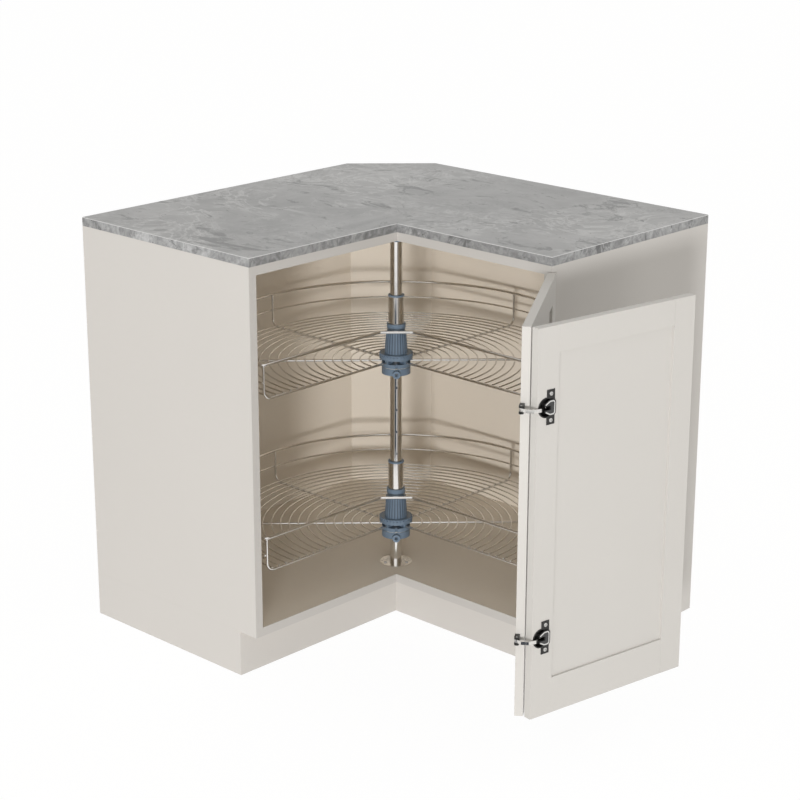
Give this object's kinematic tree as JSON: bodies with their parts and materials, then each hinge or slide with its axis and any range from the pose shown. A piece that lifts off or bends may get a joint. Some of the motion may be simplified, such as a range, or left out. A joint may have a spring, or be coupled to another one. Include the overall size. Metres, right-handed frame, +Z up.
{
  "type": "corner carousel base cabinet",
  "caption": "L-shaped corner base cabinet with a cut-off back corner, revolving three-quarter wire baskets on a post, and a pair of hinged leaves that fold on each other.",
  "frame": {"origin": "the corner of the room on the floor, where the planes of the two wall sides of the cabinet meet", "axes": "+X right along the wall behind the right arm, +Y into that wall, +Z up; the cabinet lies at positive X and negative Y"},
  "size_m": [1.1922, 0.9, 0.87],
  "materials": {
    "board": "satin melamine facing on chipboard",
    "door_board": "satin off-white paint on board",
    "worktop": "grey stone-pattern laminate",
    "dowel": "turned beech",
    "hub_plastic": "moulded blue-grey",
    "black_plastic": "moulded black",
    "washer_plastic": "self-lubricating white",
    "chrome": "bright chrome plate",
    "steel": "zinc-plated",
    "hinge_black": "black coated",
    "cover_plastic": "dark gloss"
  },
  "bodies": {
    "cabinet": {"end_panel_left": "board", "end_panel_right": "board", "back_panel_left": "board", "back_panel_rear": "board", "back_panel_diagonal": "board", "base_panel": "board", "top_panel": "board", "dowels": "dowel", "plinth_front_left": "board", "plinth_front_right": "board", "plinth_end_left": "board", "plinth_end_right": "board", "plinth_clips": "black_plastic", "leg_sockets": "black_plastic", "leg_feet": "black_plastic", "leg_screws": "steel", "worktop": "worktop", "worktop_screws": "steel", "post": "chrome", "floor_flange": "chrome", "floor_flange_screws": "steel", "top_socket": "hub_plastic", "top_socket_screws": "steel", "collar_lower": "hub_plastic", "collar_upper": "hub_plastic", "collar_screws": "steel", "bearing_washer_lower": "washer_plastic", "bearing_washer_upper": "washer_plastic", "cabinet_hinge_plates": "steel", "cabinet_hinge_screws": "steel", "hinge_pins": "steel"},
    "carousel_lower": {"hub_lower": "hub_plastic", "sleeve_lower": "chrome", "sleeve_cap_lower": "hub_plastic", "basket_lower": "chrome"},
    "carousel_upper": {"hub_upper": "hub_plastic", "sleeve_upper": "chrome", "sleeve_cap_upper": "hub_plastic", "basket_upper": "chrome"},
    "leaf_a": {"leaf_a_stiles": "door_board", "leaf_a_rails": "door_board", "leaf_a_panel": "door_board", "door_hinge_plates": "steel", "door_hinge_screws": "steel", "fold_hinge_blocks": "hinge_black", "fold_hinge_pins": "steel", "fold_hinge_block_screws": "steel"},
    "leaf_b": {"leaf_b_stiles": "door_board", "leaf_b_rails": "door_board", "leaf_b_panel": "door_board", "fold_hinge_cups": "hinge_black", "fold_hinge_covers": "cover_plastic", "fold_hinge_cup_screws": "steel"},
    "fold_arms": {"fold_hinge_arms": "steel"}
  },
  "joints": [
    {"name": "door_swing", "type": "hinge", "parent": "cabinet", "child": "leaf_a", "pos_m": [0.897, -0.502, 0.4735], "axis": [0, 0, 1], "range_deg": [-123, 42]},
    {"name": "leaf_fold", "type": "hinge", "parent": "leaf_a", "child": "leaf_b", "pos_m": [1.11654, -0.81253, 0.4735], "axis": [0, 0, 1], "range_deg": [-48, 12]},
    {"name": "fold_arm_turn", "type": "hinge", "parent": "leaf_a", "child": "fold_arms", "pos_m": [1.11257, -0.8312, 0.4735], "axis": [0, 0, 1], "range_deg": [-28.8, 7.2]},
    {"name": "lower_basket_turn", "type": "hinge", "parent": "cabinet", "child": "carousel_lower", "pos_m": [0.446, -0.446, 0.2003], "axis": [0, 0, 1], "range_deg": [-360, 360]},
    {"name": "upper_basket_turn", "type": "hinge", "parent": "cabinet", "child": "carousel_upper", "pos_m": [0.446, -0.446, 0.5623], "axis": [0, 0, 1], "range_deg": [-360, 360]}
  ],
  "couplings": [
    {"joint": "fold_arm_turn", "follows": "leaf_fold", "ratio": 0.6}
  ]
}
